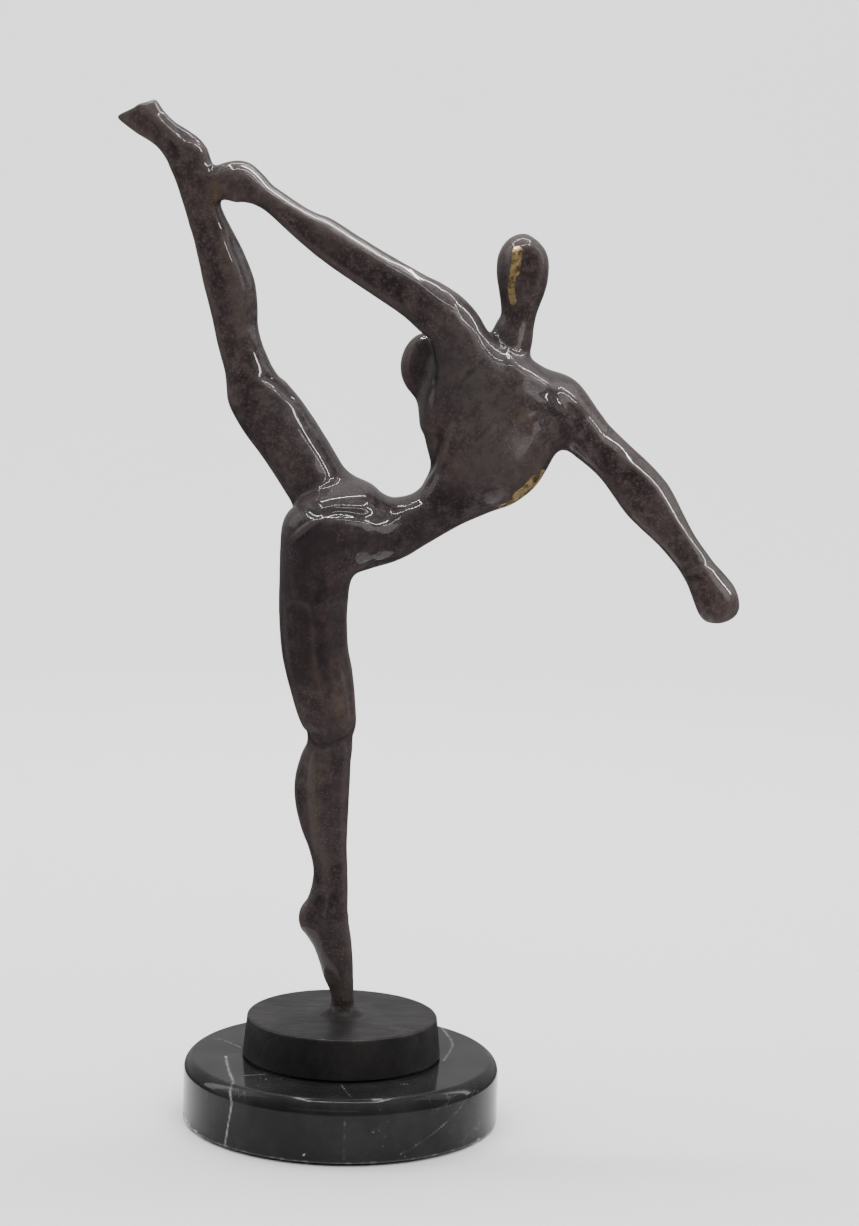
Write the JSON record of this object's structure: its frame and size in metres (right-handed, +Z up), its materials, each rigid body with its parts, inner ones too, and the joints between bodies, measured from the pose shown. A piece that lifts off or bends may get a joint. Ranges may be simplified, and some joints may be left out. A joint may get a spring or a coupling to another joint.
{
  "type": "bronze statuette",
  "caption": "Patinated bronze figure of a gymnast on one toe, holding the raised ankle behind, on a round bronze plinth bolted to a moulded black marble disc.",
  "frame": {"origin": "centre of the felt pad's underside, on the axis of the marble disc", "axes": "+Z up; +X the way the figure faces and reaches; -Y the side that the worn chest faces"},
  "size_m": [0.2987, 0.152, 0.4846],
  "materials": {
    "figure_bronze": "waxed dark brown patina over cast bronze, glossy, worn to bright metal on a few high spots",
    "raw_bronze": "drawn bronze rod, unpatinated",
    "plinth_bronze": "black-brown patina, satin",
    "gasket_rubber": "thin black sheet rubber",
    "black_marble": "polished, fine white veins",
    "zinc_steel": "bright zinc plate",
    "black_felt": "pressed wool felt"
  },
  "bodies": {
    "root": {"torso_casting": "figure_bronze", "head_casting": "figure_bronze", "standing_leg_casting": "figure_bronze", "raised_leg_casting": "figure_bronze", "trailing_arm_casting": "figure_bronze", "reaching_arm_casting": "figure_bronze", "section_dowels": "raw_bronze", "foot_pin": "raw_bronze", "plinth": "plinth_bronze", "plinth_gasket": "gasket_rubber", "marble_base": "black_marble", "mounting_stud": "zinc_steel", "penny_washer": "zinc_steel", "spring_washer": "zinc_steel", "hex_nut": "zinc_steel", "felt_pad": "black_felt"}
  },
  "joints": []
}
